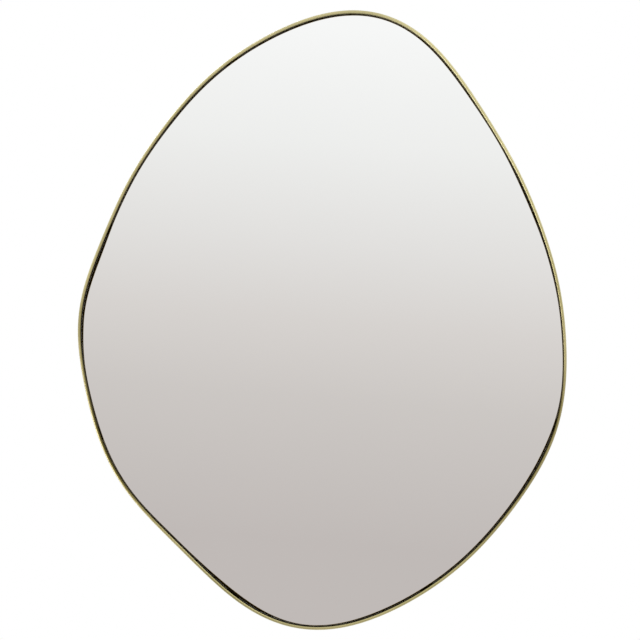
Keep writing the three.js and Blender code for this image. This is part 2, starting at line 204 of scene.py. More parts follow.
# ---------------------------------------------------------------- colours

def srgb(red, green, blue):
    """A colour written as 0 to 255, as a linear colour."""
    def linear(value):
        value /= 255
        return value / 12.92 if value <= 0.04045 else ((value + 0.055) / 1.055) ** 2.4
    return (linear(red), linear(green), linear(blue), 1.0)


BRASS_TONES = (srgb(178, 170, 117), srgb(208, 198, 145))
BRASS_AGED = srgb(148, 138, 90)
BRASS_LINED = srgb(228, 218, 170)
# Painted shade over a few stretches of the band's face.
BRASS_STRETCH_SHADE = srgb(96, 90, 62)
# Painted highlight: the pale tone the band's face takes towards its outer edge.
BRASS_PAINTED_HIGHLIGHT = srgb(228, 221, 172)
# Painted shade: the dark the band's inner side takes down into the recess.
BRASS_SHADED = srgb(74, 64, 10)
SILVER_TONES = ((0.925, 0.94, 0.934, 1), (0.94, 0.95, 0.945, 1))
# Painted reflection of the brass, as the colour of the glass's edge.
GLASS_EDGE_BRASS_REFLECTION = (srgb(124, 98, 26), srgb(158, 130, 54))
BACKING_TONES = (srgb(86, 92, 96), srgb(102, 108, 112))
# Black lacquer, warmed brown on the front as a painted reflection of the brass in the gap.
BOARD_FRONT_TONES_WITH_BRASS_REFLECTION = (srgb(24, 16, 2), srgb(36, 26, 5))
BOARD_BACK_TONES = (srgb(19, 19, 20), srgb(31, 30, 30))
BOARD_WORN = srgb(58, 52, 43)
BOARD_SCRATCHED = srgb(96, 91, 83)
# Warm tint on the lacquer's sheen: a painted reflection of the brass.
BOARD_BRASS_TINTED_SHEEN = (1.0, 0.8, 0.35, 1)
FOAM_TONES = (srgb(206, 203, 194), srgb(232, 230, 224))
RUBBER_TONES = (srgb(26, 26, 27), srgb(44, 44, 45))
LUG_TONES = (srgb(128, 126, 122), srgb(158, 156, 152))
SCREW_TONES = (srgb(176, 172, 158), srgb(204, 200, 188))
HANGER_TONES = (srgb(178, 182, 186), srgb(206, 209, 212))
WELD_TONES = (srgb(84, 78, 74), srgb(136, 126, 112))
FLOOR_TONES = ((0.84, 0.84, 0.84, 1), (0.87, 0.87, 0.87, 1))
STUDIO_LIGHT = (0.78, 0.775, 0.765, 1)
WHITE = (1, 1, 1, 1)


# ---------------------------------------------------------------- patterns of the finishes

# Stretches of the band where finish and painted shade differ, as [x, z, reach, most]. In the first list,
# most is how far the painted shade of the recess comes up over the face, or draws back where it is negative.
# Below, it is a share.
SHADE_CREEP_STRETCHES = (
    (-0.360, -0.045, 0.20, 1.3 * MM),
    (-0.300, -0.210, 0.25, 3.1 * MM),
    (0.310, -0.250, 0.26, 2.4 * MM),
    (0.328, -0.120, 0.09, 1.5 * MM),
    (0.150, 0.390, 0.45, -9.0 * MM),
    (-0.190, 0.340, 0.16, -1.2 * MM),
)
# Painted shade: the face is darkened over these stretches.
SHADED_STRETCHES = (
    (-0.13, -0.40, 0.28, 0.35),
    (0.25, 0.21, 0.20, 0.14),
)
FILMED_STRETCHES = ((0.15, 0.39, 0.42, 0.6),)
RECESS_SHADE = 2.3 * MM  # over which the painted shade of the recess fades in
BAR_UV = "length_and_width"
BRUSH_STRETCH = (6, 2600, 1)  # along the bar, across it
PATCH_STRETCH = (9, 60, 1)
SCUFF_TURNS = (0.3, 1.2, 2.4)
SCUFF_STRETCH = (5, 5, 260)
BOARD_REAR = (BOARD_BACK - 2 * MM, BOARD_BACK - 1 * MM)  # where the front's colour gives way to the back's
STEEL_GRAIN = 14  # times finer than the clouds
STEEL_SHEEN = (-0.06, 0.08)  # added to the roughness


# ---------------------------------------------------------------- materials

def add_node(tree, kind, values=None, **settings):
    """A new node with these settings. A value is a socket to link from, or a constant."""
    node = tree.nodes.new(kind)
    for key, value in settings.items():
        setattr(node, key, value)
    for socket, value in (values or {}).items():
        if isinstance(value, bpy.types.NodeSocket):
            tree.links.new(value, node.inputs[socket])
        else:
            node.inputs[socket].default_value = value
    return node


class Finish:
    """A Principled material and short calls that add nodes to it."""

    def __init__(self, name, sockets=None):
        self.material = bpy.data.materials.new(name)
        self.material.use_nodes = True
        self.tree = self.material.node_tree
        self.shader = self.tree.nodes["Principled BSDF"]
        for socket, value in (sockets or {}).items():
            self.shader.inputs[socket].default_value = value

    def node(self, kind, values=None, **settings):
        return add_node(self.tree, kind, values, **settings)

    def to_shader(self, socket, output):
        self.tree.links.new(output, self.shader.inputs[socket])

    def mapped(self, vector, socket, value):
        """The vector through a Mapping node, with one of its sockets set."""
        return self.node("ShaderNodeMapping", {"Vector": vector, socket: value}).outputs[0]

    def place(self, scale=(1, 1, 1)):
        """Object coordinates, stretched by scale."""
        return self.mapped(self.node("ShaderNodeTexCoord").outputs["Object"], "Scale", scale)

    def along(self, scale=(1, 1, 1)):
        """The bar's own UV map in metres, stretched by scale."""
        return self.mapped(self.node("ShaderNodeUVMap", uv_map=BAR_UV).outputs[0], "Scale", scale)

    def across(self):
        """How far round the bar's section a point is, in metres."""
        return self.node("ShaderNodeSeparateXYZ", {0: self.along()}).outputs["Y"]

    def math(self, operation, first, second):
        return self.node("ShaderNodeMath", {0: first, 1: second}, operation=operation).outputs[0]

    def near(self, stretches):
        """A sum over stretches of [x, z, reach, most]: most at the middle, nothing past the reach."""
        total = 0.0
        for x, z, reach, most in stretches:
            values = {0: self.place((1, 0, 1)), 1: (x, 0, z)}
            apart = self.node("ShaderNodeVectorMath", values, operation="DISTANCE").outputs["Value"]
            here = self.spread(apart, most, 0, 0, reach, "SMOOTHSTEP")
            total = self.math("ADD", here, total)
        return total

    def noise(self, place, scale, detail=3.0, roughness=0.5):
        values = {"Vector": place, "Scale": scale, "Detail": detail, "Roughness": roughness}
        return self.node("ShaderNodeTexNoise", values).outputs["Fac"]

    def spread(self, value, low, high, start=0.3, end=0.7, easing="LINEAR"):
        """value from start to end, as a number from low to high."""
        values = {"Value": value, "From Min": start, "From Max": end, "To Min": low, "To Max": high}
        return self.node("ShaderNodeMapRange", values, interpolation_type=easing).outputs[0]

    def blend(self, share, first, second):
        """first at a share of 0, second at 1."""
        return self.node("ShaderNodeMix", {0: share, 6: first, 7: second}, data_type="RGBA").outputs[2]

    def scuffs(self):
        """Fine scratches that cross: the thin peaks of a few noises, drawn out in different directions."""
        total = 0.0
        for turn in SCUFF_TURNS:
            turned = self.mapped(self.place(), "Rotation", (0, turn, 0))
            lines = self.noise(self.mapped(turned, "Scale", SCUFF_STRETCH), 1.0, roughness=0.6)
            total = self.math("ADD", self.spread(lines, 0, 0.5, 0.68, 0.82), total)
        return total

    def bump(self, height, strength, distance):
        values = {"Height": height, "Strength": strength, "Distance": distance}
        self.to_shader("Normal", self.node("ShaderNodeBump", values).outputs[0])


def brushed_brass():
    """Pale antique brass: brush lines along the bar, cloudy patina, a painted highlight on the outer edge,
    painted shade in the recess and over a few stretches of the face.
    """
    finish = Finish("brushed_antique_brass")
    lines = finish.noise(finish.along(BRUSH_STRETCH), 1.0)
    clouds = finish.noise(finish.place(), scale=16.0, roughness=0.55)
    patches = finish.noise(finish.along(PATCH_STRETCH), 1.0, detail=2.0)
    tone = finish.blend(finish.spread(clouds, 0, 1), *BRASS_TONES)
    aged = finish.blend(finish.spread(patches, 0, 0.35), tone, BRASS_AGED)
    lined = finish.blend(finish.spread(lines, 0, 0.12), aged, BRASS_LINED)
    across = finish.across()
    crept = finish.math("SUBTRACT", across, finish.near(SHADE_CREEP_STRETCHES))
    # Painted shade: a darker tone over a few stretches of the face.
    stretch_shaded = finish.blend(finish.near(SHADED_STRETCHES), lined, BRASS_STRETCH_SHADE)
    # Painted highlight: the face pales towards its outer edge.
    wear_and_highlight = finish.blend(finish.spread(crept, 0, 0.3, FACE_START, FACE_END), stretch_shaded, BRASS_PAINTED_HIGHLIGHT)
    # Painted shade: the inner side of the band darkens down into the recess, further over the face in some
    # stretches.
    recess_top = finish.spread(crept, 1, 0, FACE_START - RECESS_SHADE, FACE_START)
    recess_foot = finish.spread(across, 0, 1, BOARD_LINE - RECESS_SHADE, BOARD_LINE)
    shade = finish.math("MULTIPLY", recess_top, recess_foot)
    finish.to_shader("Base Color", finish.blend(shade, wear_and_highlight, BRASS_SHADED))
    finish.to_shader("Metallic", finish.math("SUBTRACT", 1.0, finish.near(FILMED_STRETCHES)))
    finish.to_shader("Roughness", finish.spread(lines, 0.29, 0.35))
    finish.bump(lines, strength=0.05, distance=0.05 * MM)
    return finish.material


def silvered_mirror():
    """Silver seen through polished float glass, with the faintest haze."""
    finish = Finish("silvered_mirror", {"Metallic": 1.0})
    haze = finish.noise(finish.place(), scale=5.0)
    finish.to_shader("Base Color", finish.blend(haze, *SILVER_TONES))
    finish.to_shader("Roughness", finish.spread(haze, 0.0, 0.012))
    return finish.material


def polished_glass_edge():
    """The edge of the glass, coloured with a painted reflection of the brass beside it."""
    finish = Finish("polished_glass_edge", {"Roughness": 0.08, "Coat Weight": 0.3})
    depth = finish.noise(finish.place((1, 6, 1)), scale=60.0, detail=2.0)
    # Painted reflection: the edge takes the brass's warm colour.
    finish.to_shader("Base Color", finish.blend(depth, *GLASS_EDGE_BRASS_REFLECTION))
    return finish.material


def mirror_backing():
    """Grey paint over the silver, on the back of the glass."""
    finish = Finish("mirror_backing_paint")
    spray = finish.noise(finish.place(), scale=700.0)
    finish.to_shader("Base Color", finish.blend(spray, *BACKING_TONES))
    finish.to_shader("Roughness", finish.spread(spray, 0.5, 0.65))
    return finish.material


def black_lacquer():
    """Black lacquer on fibreboard: roller stipple, a front warmed brown and a sheen tinted warm as a painted
    reflection of the brass, and on the back places worn by handling and fine scratches.
    """
    finish = Finish("black_lacquered_board", {"Specular IOR Level": 0.12, "Specular Tint": BOARD_BRASS_TINTED_SHEEN})
    depth = finish.node("ShaderNodeSeparateXYZ", {0: finish.place()}).outputs["Y"]
    rear = finish.spread(depth, 0, 1, *BOARD_REAR)
    stipple = finish.noise(finish.place(), scale=420.0, detail=2.0)
    fibres = finish.noise(finish.place(), scale=160.0, detail=5.0, roughness=0.6)
    # The front's warm brown is partly a painted reflection of the brass in the gap.
    front = finish.blend(finish.spread(fibres, 0, 1), *BOARD_FRONT_TONES_WITH_BRASS_REFLECTION)
    back = finish.blend(finish.spread(fibres, 0, 1), *BOARD_BACK_TONES)
    touches = finish.noise(finish.place(), scale=7.0, detail=5.0, roughness=0.6)
    handled = finish.spread(touches, 0, 0.5, 0.48, 0.75)
    wear_and_highlight = finish.math("MULTIPLY", rear, handled)
    scuffed = finish.math("MULTIPLY", rear, finish.scuffs())
    worn = finish.blend(wear_and_highlight, finish.blend(rear, front, back), BOARD_WORN)
    finish.to_shader("Base Color", finish.blend(scuffed, worn, BOARD_SCRATCHED))
    finish.to_shader("Roughness", finish.spread(wear_and_highlight, 0.45, 0.65, 0, 0.5))
    finish.bump(stipple, strength=0.25, distance=0.1 * MM)
    return finish.material


def foam():
    """Pale foam with fine cells."""
    finish = Finish("foam_tape", {"Roughness": 0.9})
    values = {"Vector": finish.place(), "Scale": 1800.0}
    cells = finish.node("ShaderNodeTexVoronoi", values).outputs["Distance"]
    finish.to_shader("Base Color", finish.blend(finish.spread(cells, 0, 1, 0, 0.6), *FOAM_TONES))
    finish.bump(cells, strength=0.5, distance=0.1 * MM)
    return finish.material


def steel(name, tones, rough, scale=60.0):
    """Bare or plated steel: cloudy tone, fine grain and an uneven sheen."""
    finish = Finish(name, {"Metallic": 1.0})
    clouds = finish.noise(finish.place(), scale, detail=4.0, roughness=0.6)
    grain = finish.noise(finish.place(), scale * STEEL_GRAIN)
    finish.to_shader("Base Color", finish.blend(finish.spread(clouds, 0, 1), *tones))
    finish.to_shader("Roughness", finish.spread(grain, *[rough + change for change in STEEL_SHEEN]))
    finish.bump(grain, strength=0.12, distance=0.04 * MM)
    return finish.material


def matt_rubber():
    """Moulded black rubber with a fine matt skin."""
    finish = Finish("matt_black_rubber", {"Specular IOR Level": 0.3})
    skin = finish.noise(finish.place(), scale=1500.0, detail=4.0)
    finish.to_shader("Base Color", finish.blend(finish.spread(skin, 0, 1), *RUBBER_TONES))
    finish.to_shader("Roughness", finish.spread(skin, 0.7, 0.85))
    finish.bump(skin, strength=0.35, distance=0.08 * MM)
    return finish.material


BRASS = brushed_brass()
MIRROR = silvered_mirror()
GLASS_EDGE = polished_glass_edge()
BACKING = mirror_backing()
LACQUER = black_lacquer()
FOAM = foam()
LUG_STEEL = steel("mild_steel_lug", LUG_TONES, 0.45)
SCREW_STEEL = steel("zinc_plated_screw", SCREW_TONES, 0.3, scale=220.0)
HANGER_STEEL = steel("bright_zinc_hanger", HANGER_TONES, 0.28, scale=120.0)
WELD = steel("weld_bead", WELD_TONES, 0.5, scale=400.0)
RUBBER = matt_rubber()


# ---------------------------------------------------------------- closed curves

class ClosedCurve:
    """A smooth closed curve in x and z, as a trigonometric series through evenly spaced points."""

    def __init__(self, points):
        values = np.array([complex(x, z) for x, z in points])
        self.series = np.fft.fft(values) / len(values)
        self.waves = np.fft.fftfreq(len(values), 1 / len(values))

    def at(self, turns):
        """Points and outward directions at these shares of a turn."""
        spin = np.exp(2j * np.pi * np.outer(turns, self.waves))
        point = spin @ self.series
        along = spin @ (self.series * 2j * np.pi * self.waves)
        outward = -1j * along / np.abs(along)
        return point, outward


def merged_points(node):
    """The node's vertices, each place once."""
    vertices = frame["nodes"][node].data.vertices
    return sorted({tuple(round(c, PLACE_DIGITS) for c in v.co) for v in vertices})


def ring_at_depth(node, level):
    """The node's ring of points at its level-th depth from the front, in order round the origin."""
    points = merged_points(node)
    depths = sorted({y for _, y, _ in points})
    ring = [(x, z) for x, y, z in points if y == depths[level]]
    return sorted(ring, key=lambda p: math.atan2(p[1], p[0]))


OUTLINE = ClosedCurve(ring_at_depth("backboard", 0))
GLASS_OUTLINE = ClosedCurve(ring_at_depth("mirror_glass", 1))
OUTLINE_SHARES = np.arange(OUTLINE_POINTS) / OUTLINE_POINTS


# ---------------------------------------------------------------- meshes

def new_piece(name, mesh, materials=()):
    """An object in the scene, with its place in its mesh."""
    piece = bpy.data.objects.new(name, mesh)
    bpy.context.scene.collection.objects.link(piece)
    for material in materials:
        piece.data.materials.append(material)
    return piece


def mesh_from(name, vertices, faces, smooth=True):
    """A mesh of these vertices and faces."""
    mesh = bpy.data.meshes.new(name)
    mesh.from_pydata(vertices, [], faces)
    mesh.validate()
    mesh.polygons.foreach_set("use_smooth", [smooth] * len(mesh.polygons))
    return mesh


@contextmanager
def editable(mesh):
    """The mesh as a shape for bmesh.ops, written back at the end."""
    shape = bmesh.new()
    shape.from_mesh(mesh)
    yield shape
    shape.to_mesh(mesh)
    shape.free()


def face_outwards(mesh):
    """Merges doubles and turns every face outwards."""
    with editable(mesh) as shape:
        bmesh.ops.remove_doubles(shape, verts=shape.verts, dist=DOUBLES)
        bmesh.ops.recalc_face_normals(shape, faces=shape.faces)


def join_flat_faces(mesh):
    """Makes whole faces of the triangles that lie in one plane."""
    with editable(mesh) as shape:
        bmesh.ops.dissolve_limit(shape, angle_limit=FLAT_ANGLE, verts=shape.verts, edges=shape.edges)


def merge_slivers(mesh):
    """Joins points that a cut or a bevel has left less than SLIVER apart."""
    with editable(mesh) as shape:
        bmesh.ops.remove_doubles(shape, verts=shape.verts, dist=SLIVER)
        bmesh.ops.dissolve_degenerate(shape, dist=SLIVER, edges=shape.edges)


def sharpen(mesh, angle=CRISP_ANGLE):
    """Smooth shading, with edges sharper than angle kept crisp."""
    mesh.shade_smooth()
    mesh.set_sharp_from_angle(angle=angle)


def strip_faces(rows, columns, closed_rows=True):
    """Quads between rows of points. Each row is a loop of columns points."""
    faces = []
    for row in range(rows if closed_rows else rows - 1):
        here = row * columns
        below = (row + 1) % rows * columns
        for column in range(columns):
            beside = (column + 1) % columns
            faces.append((here + column, here + beside, below + beside, below + column))
    return faces


def apply_modifiers(piece):
    """Replaces the piece's mesh with its finished shape."""
    graph = bpy.context.evaluated_depsgraph_get()
    done = bpy.data.meshes.new_from_object(piece.evaluated_get(graph))
    piece.modifiers.clear()
    piece.data = done
    return piece


def ease_edges(piece, width):
    """Rounds the piece's sharp edges a little."""
    bevel = piece.modifiers.new("eased", "BEVEL")
    bevel.width = width
    bevel.segments = EASED_STEPS
    bevel.limit_method = "ANGLE"
    bevel.angle_limit = EASED_ANGLE
    apply_modifiers(piece)
    merge_slivers(piece.data)
    sharpen(piece.data)
    return piece


def fit_to_box(mesh, low, high):
    """Takes up the hair's breadth by which a smooth outline passes the faceted one."""
    places = np.array([v.co for v in mesh.vertices])
    for axis in (0, 2):
        excess = (places[:, axis].max() - places[:, axis].min()) / (high[axis] - low[axis])
        if excess > 1:
            places[:, axis] /= excess
    places[:, 0] += low.x - places[:, 0].min()
    places[:, 2] += low.z - places[:, 2].min()
    mesh.vertices.foreach_set("co", places.ravel())
    return mesh


def direction(start, end):
    """The unit vector from one flat point to another."""
    return Vector((end[0] - start[0], end[1] - start[1])).normalized()


def lathe_mesh(name, profile, sides):
    """A closed solid of revolution about y. The profile is [radius, y] from axis to axis."""
    rings = profile[1:-1]
    vertices = [(0, profile[0][1], 0)]
    for radius, y in rings:
        for side in range(sides):
            angle = 2 * math.pi * side / sides
            vertices.append((radius * math.cos(angle), y, radius * math.sin(angle)))
    vertices.append((0, profile[-1][1], 0))
    last = len(vertices) - 1
    faces = []
    for corners in strip_faces(len(rings), sides, closed_rows=False):
        faces.append(tuple(corner + 1 for corner in corners))
    for side in range(sides):
        beside = (side + 1) % sides
        faces.append((0, 1 + side, 1 + beside))
        faces.append((last, last - sides + beside, last - sides + side))
    mesh = mesh_from(name, vertices, faces)
    face_outwards(mesh)
    return mesh


# ---------------------------------------------------------------- frame band

def frame_band():
    """The bar's section carried round the outline."""
    points, outward = OUTLINE.at(OUTLINE_SHARES)
    edge = points + outward * BAND_TO_BOARD
    vertices = []
    for place, out in zip(edge, outward):
        for offset, y in SECTION:
            spot = place + out * offset
            vertices.append((spot.real, y, spot.imag))
    mesh = mesh_from("frame_band_smooth", vertices, strip_faces(OUTLINE_POINTS, len(SECTION)))
    add_bar_uv(mesh, edge)
    face_outwards(mesh)
    sharpen(mesh)
    piece = new_piece("brass_band", fit_to_box(mesh, BAND_LOW, BAND_HIGH), [BRASS])
    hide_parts("frame_band")
    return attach(piece, ROOT)


def add_bar_uv(mesh, edge):
    """UV in metres: along the bar, and round its section."""
    lengths = np.concatenate([[0], np.cumsum(np.abs(np.diff(np.append(edge, edge[0]))))])
    layer = mesh.uv_layers.new(name=BAR_UV)
    for polygon in mesh.polygons:
        row, column = divmod(polygon.index, len(SECTION))
        corners = [(row, column), (row, column + 1), (row + 1, column + 1), (row + 1, column)]
        for loop, (r, c) in zip(polygon.loop_indices, corners):
            layer.data[loop].uv = (lengths[r], GIRTH[c])


# ---------------------------------------------------------------- glass

def mirror_glass():
    """Flat silvered face, rounded polished edge and painted back, each with its own finish."""
    points, outward = GLASS_OUTLINE.at(OUTLINE_SHARES)
    radius = GLASS_ARRIS
    section = [
        *arc(-radius, GLASS_BACK - radius, radius, 90, 0, GLASS_ARRIS_STEPS),
        *arc(-radius, GLASS_FRONT + radius, radius, 0, -90, GLASS_ARRIS_STEPS),
    ]
    vertices = []
    for offset, y in section:
        for spot in points + outward * offset:
            vertices.append((spot.real, y, spot.imag))
    faces = strip_faces(len(section), OUTLINE_POINTS, closed_rows=False)
    edge_faces = len(faces)
    first_of_front = len(vertices) - OUTLINE_POINTS
    faces.append(tuple(range(OUTLINE_POINTS)))
    faces.append(tuple(range(first_of_front, len(vertices))))
    mesh = mesh_from("mirror_glass_smooth", vertices, faces)
    face_outwards(mesh)
    fit_to_box(mesh, GLASS_LOW, GLASS_HIGH)
    piece = new_piece("mirror_plate", mesh, [MIRROR, GLASS_EDGE, BACKING])
    for polygon in mesh.polygons[:edge_faces]:
        polygon.material_index = 1
    for polygon, slot in zip(mesh.polygons[edge_faces:], (2, 0)):
        polygon.material_index = slot
        polygon.use_smooth = False
    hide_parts("mirror_glass")
    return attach(piece, ROOT)


# ---------------------------------------------------------------- lugs

def frame_lug(node):
    """The cut tab with its edges eased and its two faces flat."""
    mesh = frame["nodes"][node].data.copy()
    face_outwards(mesh)
    join_flat_faces(mesh)
    mesh.materials.clear()
    piece = ease_edges(new_piece(node + "_tab", mesh, [LUG_STEEL]), LUG_BEVEL)
    for polygon in piece.data.polygons:
        polygon.use_smooth = abs(polygon.normal.y) < FLAT_NORMAL
    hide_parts(node)
    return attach(piece, ROOT)


# ---------------------------------------------------------------- geometry nodes

def new_tree(name, inputs, output):
    """A geometry-nodes tree with these named inputs and one output, and the inputs' sockets by name."""
    tree = bpy.data.node_groups.new(name, "GeometryNodeTree")
    for label, kind in inputs.items():
        tree.interface.new_socket(label, in_out="INPUT", socket_type="NodeSocket" + kind)
    tree.interface.new_socket(output, in_out="OUTPUT", socket_type="NodeSocketGeometry")
    return tree, tree.nodes.new("NodeGroupInput").outputs


def close_tree(tree, copies, finish):
    """Ends the tree: its copies made real, in this finish."""
    real = add_node(tree, "GeometryNodeRealizeInstances", {0: copies.outputs[0]})
    painted = add_node(tree, "GeometryNodeSetMaterial", {"Geometry": real.outputs[0], "Material": finish})
    add_node(tree, "NodeGroupOutput", {0: painted.outputs[0]})
    return tree


def run_tree(piece, tree, values):
    """Runs the tree on the piece, with its inputs by name, and keeps the result as a plain mesh."""
    modifier = piece.modifiers.new(tree.name, "NODES")
    modifier.node_group = tree
    for item in tree.interface.items_tree:
        if item.in_out == "INPUT" and item.name in values:
            modifier[item.identifier] = values[item.name]
    return apply_modifiers(piece)


def repeat_tree(name):
    """The template on every vertex, turned by the vertex's own turn."""
    inputs = {"Places": "Geometry", "Template": "Object", "Size": "Float", "Finish": "Material"}
    tree, given = new_tree(name, inputs, "Pieces")
    template = add_node(tree, "GeometryNodeObjectInfo", {"Object": given["Template"]})
    turn = add_node(tree, "GeometryNodeInputNamedAttribute", {"Name": "turn"}, data_type="FLOAT_VECTOR")
    copies = add_node(tree, "GeometryNodeInstanceOnPoints", {
        "Points": given["Places"],
        "Instance": template.outputs["Geometry"],
        "Rotation": turn.outputs["Attribute"],
        "Scale": given["Size"],
    })
    return close_tree(tree, copies, given["Finish"])


def repeat(name, places, turns, template, material):
    """One mesh of the template repeated at these places, with these turns in radians."""
    mesh = bpy.data.meshes.new(name)
    mesh.from_pydata(places, [], [])
    attribute = mesh.attributes.new("turn", "FLOAT_VECTOR", "POINT")
    attribute.data.foreach_set("vector", [angle for turn in turns for angle in turn])
    values = {"Template": template, "Size": 1.0, "Finish": material}
    return run_tree(new_piece(name, mesh), repeat_tree(name + "_copies"), values)


# ---------------------------------------------------------------- screws

def screw_profile(under_head):
    """[radius, y] from the point to the top of the head. The underside of the head is at y = 0."""
    head, tall, shank = SCREW_HEAD_RADIUS, SCREW_HEAD_HEIGHT, SCREW_SHANK_RADIUS
    point = -(under_head + SCREW_GRIP)
    edge_foot, edge_top = HEAD_EDGE
    profile = [(0, point), (SCREW_POINT_RADIUS, point), (shank, point + SCREW_POINT_LENGTH), (shank, 0)]
    profile += [(head * HEAD_UNDERSIDE, 0), (head, edge_foot * tall), (head, edge_top * tall)]
    for angle in HEAD_DOME_ANGLES:
        rise = HEAD_DOME_FOOT * tall + (1 - HEAD_DOME_FOOT) * tall * math.cos(angle)
        profile.append((head * math.sin(angle), rise))
    return [*profile, (0, tall)]


def screw_template(under_head):
    """Pan head screw with a tapered cross recess."""
    mesh = lathe_mesh("screw_template", screw_profile(under_head), SCREW_SIDES)
    screw = new_piece("screw_template", mesh)
    cutter = cross_cutter(SCREW_HEAD_HEIGHT)
    cut = screw.modifiers.new("recess", "BOOLEAN")
    cut.object = cutter
    cut.solver = "EXACT"
    apply_modifiers(screw)
    merge_slivers(screw.data)
    sharpen(screw.data, SCREW_CRISP_ANGLE)
    bpy.data.objects.remove(cutter)
    return screw


def cross_outline(span, width):
    """The twelve corners of a cross."""
    long, short = span / 2, width / 2
    quarter = [(long, -short), (long, short), (short, short)]
    corners = []
    for turn in range(4):
        spin = Matrix.Rotation(turn * math.pi / 2, 2)
        corners += [tuple(spin @ Vector(corner)) for corner in quarter]
    return corners


def cross_cutter(top):
    """A cross that narrows downwards."""
    upper = cross_outline(*RECESS_MOUTH)
    lower = cross_outline(*RECESS_FOOT)
    corners = len(upper)
    vertices = [(x, top + RECESS_CLEAR, z) for x, z in upper]
    vertices += [(x, top - RECESS_DEPTH, z) for x, z in lower]
    faces = strip_faces(2, corners, closed_rows=False)
    faces.append(tuple(range(corners)))
    faces.append(tuple(range(corners, 2 * corners)))
    mesh = mesh_from("cross_cutter", vertices, faces, smooth=False)
    face_outwards(mesh)
    return new_piece("cross_cutter", mesh)


def head_place(node):
    """The screw's axis, where the underside of its head is."""
    spot = middle(node)
    return (spot.x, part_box(node)[1].y - SCREW_HEAD_HEIGHT, spot.z)


def screws(name, nodes, under_head, seed):
    """The screws of these nodes as one piece, each turned by chance."""
    draw = random.Random(seed)
    template = screw_template(under_head)
    places = [head_place(node) for node in nodes]
    turns = [(0, draw.uniform(0, math.pi / 2), 0) for _ in nodes]
    piece = repeat(name, places, turns, template, SCREW_STEEL)
    bpy.data.objects.remove(template)
    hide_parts(*nodes)
    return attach(piece, ROOT)


# ---------------------------------------------------------------- hangers

def strap_centreline():
    """Middle of the folded strip as [height above the board, along it]: lower leaf, loop, upper leaf."""
    half = STRAP_SHEET / 2
    bore = RING_WIRE_RADIUS + BORE_CLEARANCE
    upper = 3 * half
    loop = arc(bore + STRAP_SHEET, 0, bore + half, 180, STRAP_LOOP_END, STRAP_LOOP_STEPS)
    leave_x, leave_y = loop[-1]
    bend = leave_y - (leave_x - upper) / math.tan(math.radians(-STRAP_LOOP_END))
    flat = 2 * bend - leave_y
    curve = []
    for step in range(1, STRAP_BEND_STEPS + 1):
        t = step / STRAP_BEND_STEPS
        x = (1 - t) ** 2 * leave_x + 2 * t * (1 - t) * upper + t * t * upper
        y = (1 - t) ** 2 * leave_y + 2 * t * (1 - t) * bend + t * t * flat
        curve.append((x, y))
    lower_leaf = [(half, -STRAP_LENGTH * share) for share in STRAP_LOWER_SHARES]
    upper_leaf = [(upper, -STRAP_LENGTH * share) for share in STRAP_UPPER_SHARES]
    return [*lower_leaf, *loop, *curve, *upper_leaf]


def strap_half_width(along):
    """Half the strap's width: straight sides and a round lower end."""
    half = STRAP_WIDTH / 2
    past = -STRAP_LENGTH + half - along
    return half if past <= 0 else math.sqrt(max(half * half - past * past, STRAP_END_HALF ** 2))


def refine_end(line):
    """Adds points in the round end, where the strap narrows."""
    half = STRAP_WIDTH / 2
    ends = [-STRAP_LENGTH + half * (1 - math.cos(math.radians(a))) for a in STRAP_END_ANGLES]
    first = [(line[0][0], y) for y in ends]
    last = [(line[-1][0], y) for y in reversed(ends)]
    inner = [p for p in line if p[1] > ends[-1] + SLIVER]
    return first + inner + last


def hanger_strap(side):
    """A strip with real thickness, folded round the ring, with a fine seam between its two leaves."""
    node = f"hanger_strap_{side}"
    low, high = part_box(node)
    base = Vector(((low.x + high.x) / 2, BOARD_BACK, low.z + STRAP_LENGTH))
    line = refine_end(strap_centreline())
    vertices = []
    for index, (height, along) in enumerate(line):
        run = direction(line[max(index - 1, 0)], line[min(index + 1, len(line) - 1)])
        out = Vector((-run.y, run.x)) * (STRAP_SHEET - STRAP_SEAM) / 2
        half = strap_half_width(along)
        for across, through in ((-1, -1), (1, -1), (1, 1), (-1, 1)):
            spot = Vector((half * across, height + out.x * through, along + out.y * through))
            vertices.append(tuple(base + spot))
    faces = strip_faces(len(line), 4, closed_rows=False)
    faces.append((0, 1, 2, 3))
    faces.append(tuple(len(vertices) - corner for corner in (1, 2, 3, 4)))
    mesh = mesh_from(node, vertices, faces)
    face_outwards(mesh)
    piece = ease_edges(new_piece(f"folded_strap_{side}", mesh, [HANGER_STEEL]), STRAP_BEVEL)
    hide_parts(node)
    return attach(piece, ROOT)


def ring_middle_line():
    """The D's wire as [x, along]: straight side through the pivot, round corners, half-circle bow."""
    half, corner = RING_HALF_WIDTH, RING_CORNER_RADIUS
    bow = RING_REACH - half
    points = [(x, 0.0) for x in np.linspace(corner - half, half - corner, RING_STRAIGHT_POINTS)]
    points += arc(half - corner, corner, corner, -90, 0, RING_CORNER_STEPS)[1:]
    points += [(half, (corner + bow) / 2)]
    points += arc(0, bow, half, 0, 180, RING_BOW_STEPS)
    points += [(-half, (corner + bow) / 2)]
    points += arc(corner - half, corner, corner, 180, 270, RING_CORNER_STEPS)[:-1]
    return points


def joint_of(body):
    """The joint that moves this body."""
    return next(joint for joint in frame["joints"] if joint["child"] == body)


